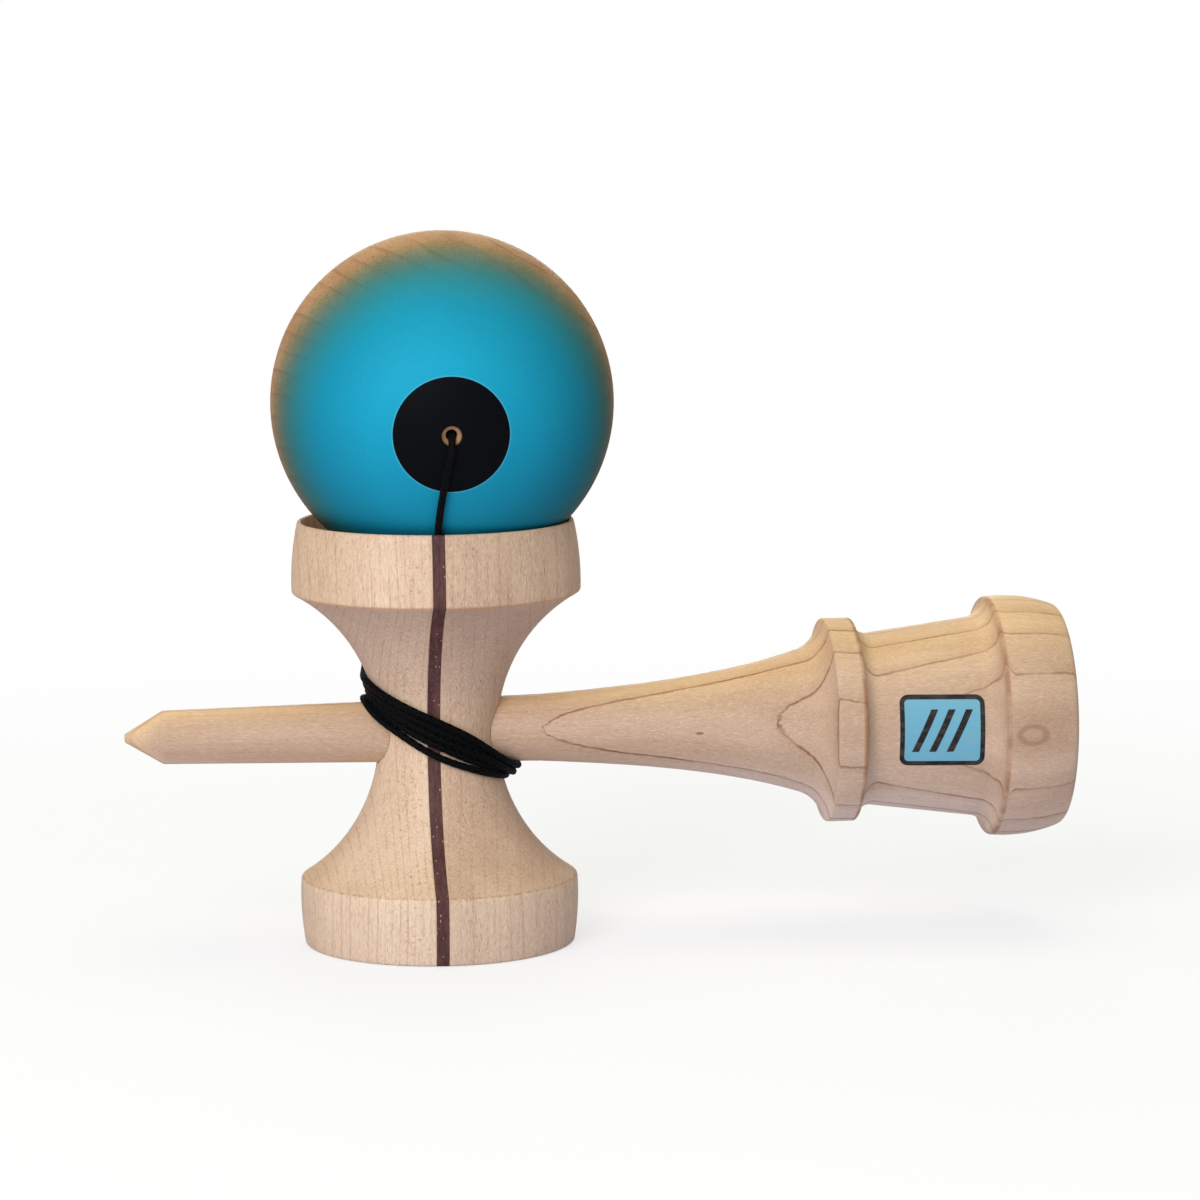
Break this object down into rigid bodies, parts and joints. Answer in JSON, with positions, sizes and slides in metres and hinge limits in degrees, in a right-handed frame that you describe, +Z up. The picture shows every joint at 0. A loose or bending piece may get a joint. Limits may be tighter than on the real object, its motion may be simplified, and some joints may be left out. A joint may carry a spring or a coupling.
{
  "type": "cup and ball toy",
  "caption": "Wooden cup and ball toy: spiked handle with a base cup, two-cup cross piece with a dark stripe, and a drilled ball on a wound string.",
  "frame": {"origin": "on the cross piece's axis, on the plane of the small cup's rim that the toy stands on", "axes": "+X along the handle from the spike to the base cup, +Y to the back, away from the ball's string hole, +Z up to the big cup and the ball"},
  "size_m": [0.1661, 0.0598, 0.1254],
  "materials": {
    "maple_handle": "sanded, satin",
    "maple_cross": "sanded, satin",
    "purpleheart": "sanded, satin",
    "painted_ball": "matte paint that fades to bare wood",
    "bead": "painted",
    "string": "braided"
  },
  "bodies": {
    "toy": {"handle": "maple_handle", "cross_left_half": "maple_cross", "cross_stripe": "purpleheart", "cross_right_half": "maple_cross", "handle_knot": "string", "string_anchor": "string", "string_winding": "string", "string_lead": "string"},
    "string_end": {"bead": "bead", "bead_knot": "string", "string_in_ball": "string", "string_front": "string"},
    "ball": {"ball": "painted_ball"}
  },
  "joints": [
    {"name": "ball_lift", "type": "slide", "parent": "toy", "child": "string_end", "axis": [0, 0, 1], "range_m": [0, 0.03]},
    {"name": "ball_spin", "type": "hinge", "parent": "string_end", "child": "ball", "pos_m": [0.00145, 0, 0.09543], "axis": [0.0347, 0.9939, 0.1045], "continuous": true}
  ]
}
